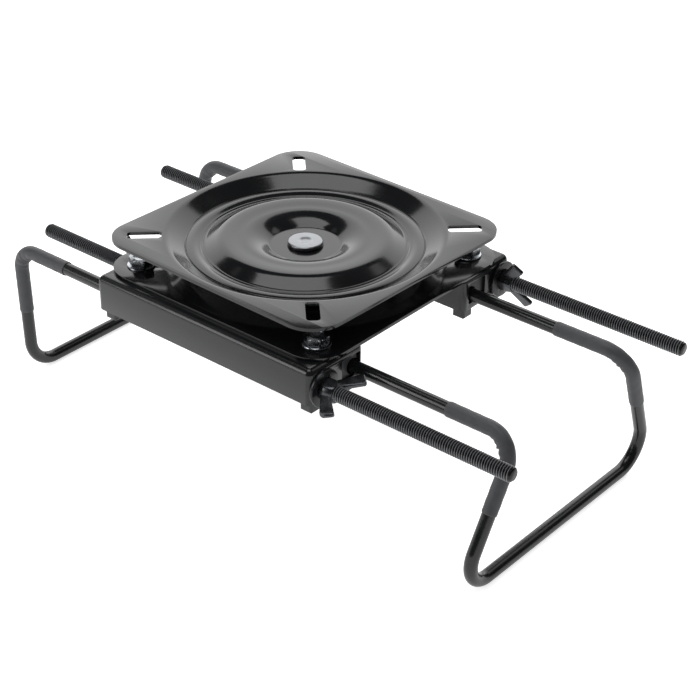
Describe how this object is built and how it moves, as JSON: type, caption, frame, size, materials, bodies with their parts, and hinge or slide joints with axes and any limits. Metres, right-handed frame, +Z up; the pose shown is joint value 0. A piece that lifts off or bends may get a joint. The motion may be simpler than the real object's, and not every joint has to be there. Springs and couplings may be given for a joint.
{
  "type": "boat seat swivel bracket",
  "caption": "Clamp-on swivel bracket: square ball-race plates on two pans, with threaded rod hooks and wing nuts that grip a bench board.",
  "frame": {"origin": "swivel axis at the seat plate's top face", "axes": "+Z up along the swivel axis, X along the hooks' arms, Y across them"},
  "size_m": [0.3885, 0.1926, 0.1249],
  "materials": {
    "plate_enamel": "gloss black enamel",
    "pan_enamel": "gloss black enamel",
    "rod_enamel": "gloss black enamel",
    "zinc": "bright zinc plate",
    "dark_washer": "satin black",
    "ball_steel": "polished steel",
    "cage_plastic": "moulded plastic",
    "block_plastic": "moulded dark grey plastic",
    "sleeve_plastic": "soft dark grey vinyl",
    "nut_metal": "black zinc with worn bright edges"
  },
  "bodies": {
    "base": {"bottom_plate": "plate_enamel", "pivot_rivet": "zinc", "thrust_washer": "dark_washer", "front_pan": "pan_enamel", "rear_pan": "pan_enamel", "front_left_block": "block_plastic", "front_right_block": "block_plastic", "rear_left_block": "block_plastic", "rear_right_block": "block_plastic", "front_left_bolt": "zinc", "front_right_bolt": "zinc", "rear_left_bolt": "zinc", "rear_right_bolt": "zinc", "front_left_bolt_nut": "zinc", "front_right_bolt_nut": "zinc", "rear_left_bolt_nut": "zinc", "rear_right_bolt_nut": "zinc", "front_left_washer": "dark_washer", "front_right_washer": "dark_washer", "rear_left_washer": "dark_washer", "rear_right_washer": "dark_washer"},
    "seat": {"top_plate": "plate_enamel"},
    "race": {"bearing_balls": "ball_steel", "ball_cage": "cage_plastic"},
    "left_hook": {"left_hook": "rod_enamel", "front_left_sleeve": "sleeve_plastic", "rear_left_sleeve": "sleeve_plastic"},
    "right_hook": {"right_hook": "rod_enamel", "front_right_sleeve": "sleeve_plastic", "rear_right_sleeve": "sleeve_plastic"},
    "front_left_wing_nut": {"front_left_wing_nut": "nut_metal"},
    "front_right_wing_nut": {"front_right_wing_nut": "nut_metal"},
    "rear_left_wing_nut": {"rear_left_wing_nut": "nut_metal"},
    "rear_right_wing_nut": {"rear_right_wing_nut": "nut_metal"}
  },
  "joints": [
    {"name": "seat_swivel", "type": "hinge", "parent": "base", "child": "seat", "pos_m": [0, 0, 0], "axis": [0, 0, 1], "continuous": true},
    {"name": "race_roll", "type": "hinge", "parent": "base", "child": "race", "pos_m": [0, 0, 0], "axis": [0, 0, 1], "continuous": true},
    {"name": "left_hook_nut_turn", "type": "hinge", "parent": "base", "child": "front_right_wing_nut", "pos_m": [0, -0.0824, -0.0345], "axis": [1, 0, 0], "range_deg": [-8280, 25200]},
    {"name": "left_hook_rear_nut_turn", "type": "hinge", "parent": "base", "child": "rear_right_wing_nut", "pos_m": [0, 0.0824, -0.0345], "axis": [1, 0, 0], "range_deg": [-8280, 25200]},
    {"name": "left_hook_slide", "type": "slide", "parent": "base", "child": "left_hook", "axis": [1, 0, 0], "range_m": [-0.11113, 0.03651]},
    {"name": "right_hook_nut_turn", "type": "hinge", "parent": "base", "child": "front_left_wing_nut", "pos_m": [0, -0.0546, -0.0345], "axis": [1, 0, 0], "range_deg": [-15120, 12960]},
    {"name": "right_hook_rear_nut_turn", "type": "hinge", "parent": "base", "child": "rear_left_wing_nut", "pos_m": [0, 0.0546, -0.0345], "axis": [1, 0, 0], "range_deg": [-15120, 12960]},
    {"name": "right_hook_slide", "type": "slide", "parent": "base", "child": "right_hook", "axis": [1, 0, 0], "range_m": [-0.05715, 0.06667]}
  ],
  "couplings": [
    {"joint": "race_roll", "follows": "seat_swivel", "ratio": 0.5},
    {"joint": "left_hook_nut_turn", "follows": "left_hook_slide", "rad_per_m": -3957.9},
    {"joint": "left_hook_rear_nut_turn", "follows": "left_hook_slide", "rad_per_m": -3957.9},
    {"joint": "right_hook_nut_turn", "follows": "right_hook_slide", "rad_per_m": -3957.9},
    {"joint": "right_hook_rear_nut_turn", "follows": "right_hook_slide", "rad_per_m": -3957.9}
  ]
}
